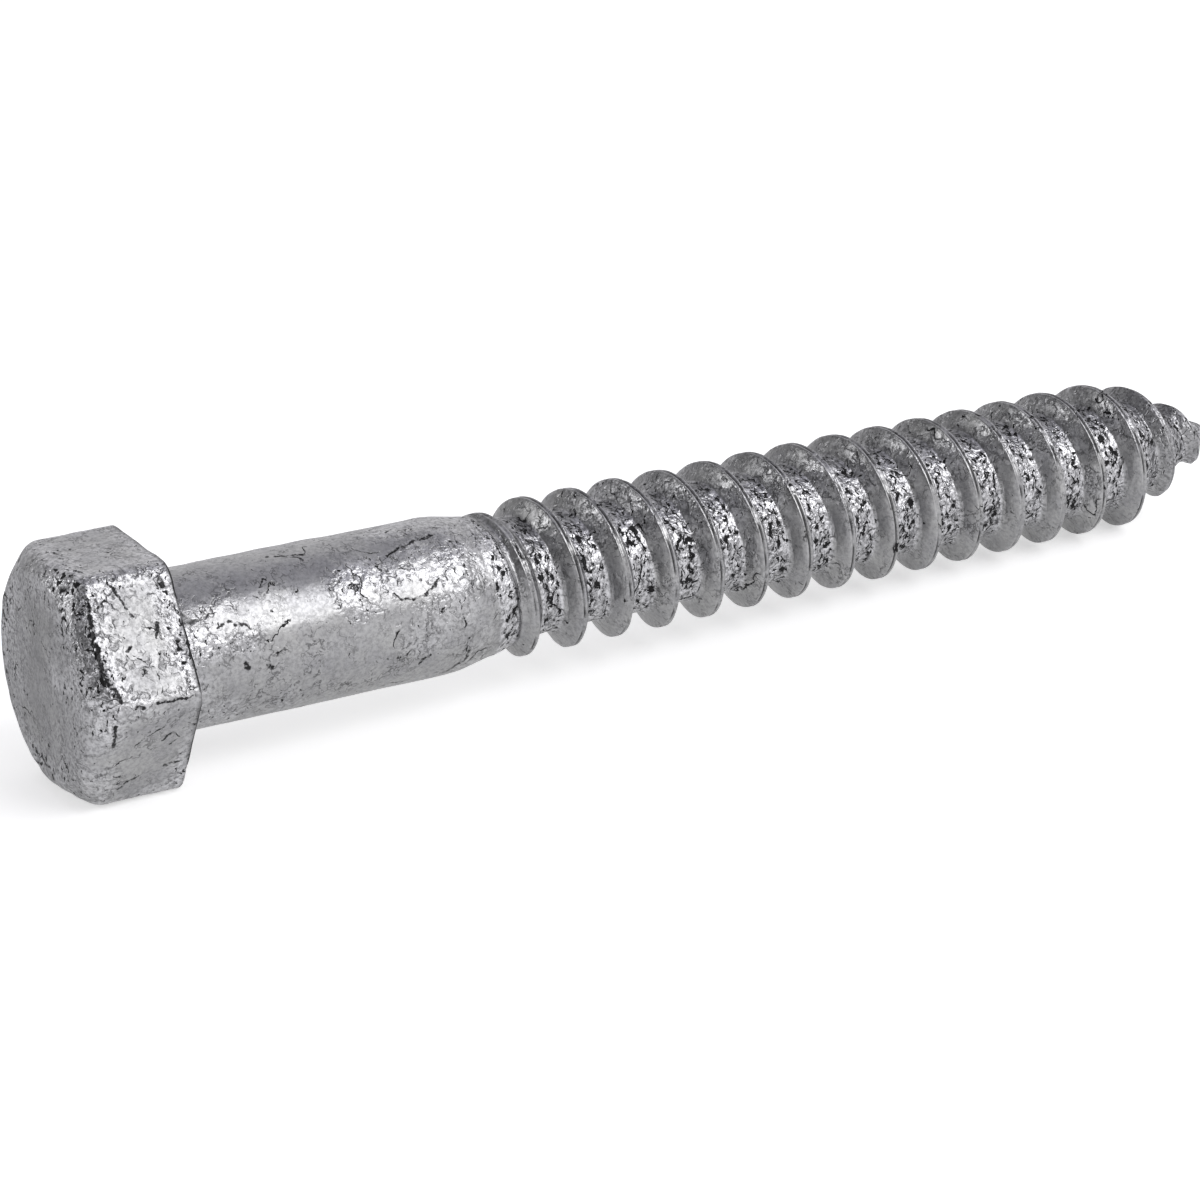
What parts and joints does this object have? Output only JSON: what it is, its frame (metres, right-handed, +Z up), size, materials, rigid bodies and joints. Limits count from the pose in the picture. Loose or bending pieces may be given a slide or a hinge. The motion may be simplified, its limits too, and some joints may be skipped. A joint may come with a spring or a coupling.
{
  "type": "hex lag screw",
  "caption": "Hex-head lag screw with a plain shank, a coarse right-hand wood thread and a gimlet point, hot-dip galvanised.",
  "frame": {"origin": "on the surface that the screw lies on, under the middle of the screw's box", "axes": "+X towards the point (the screw's own axis dips 1.8 degrees below +X), +Z up; two of the head's flats are square to the plane of X and Z"},
  "size_m": [0.1096, 0.0208, 0.0187],
  "materials": {
    "galvanised_steel": "hot-dip galvanised zinc, dull and mottled"
  },
  "bodies": {
    "root": {"lag_screw": "galvanised_steel"}
  },
  "joints": []
}
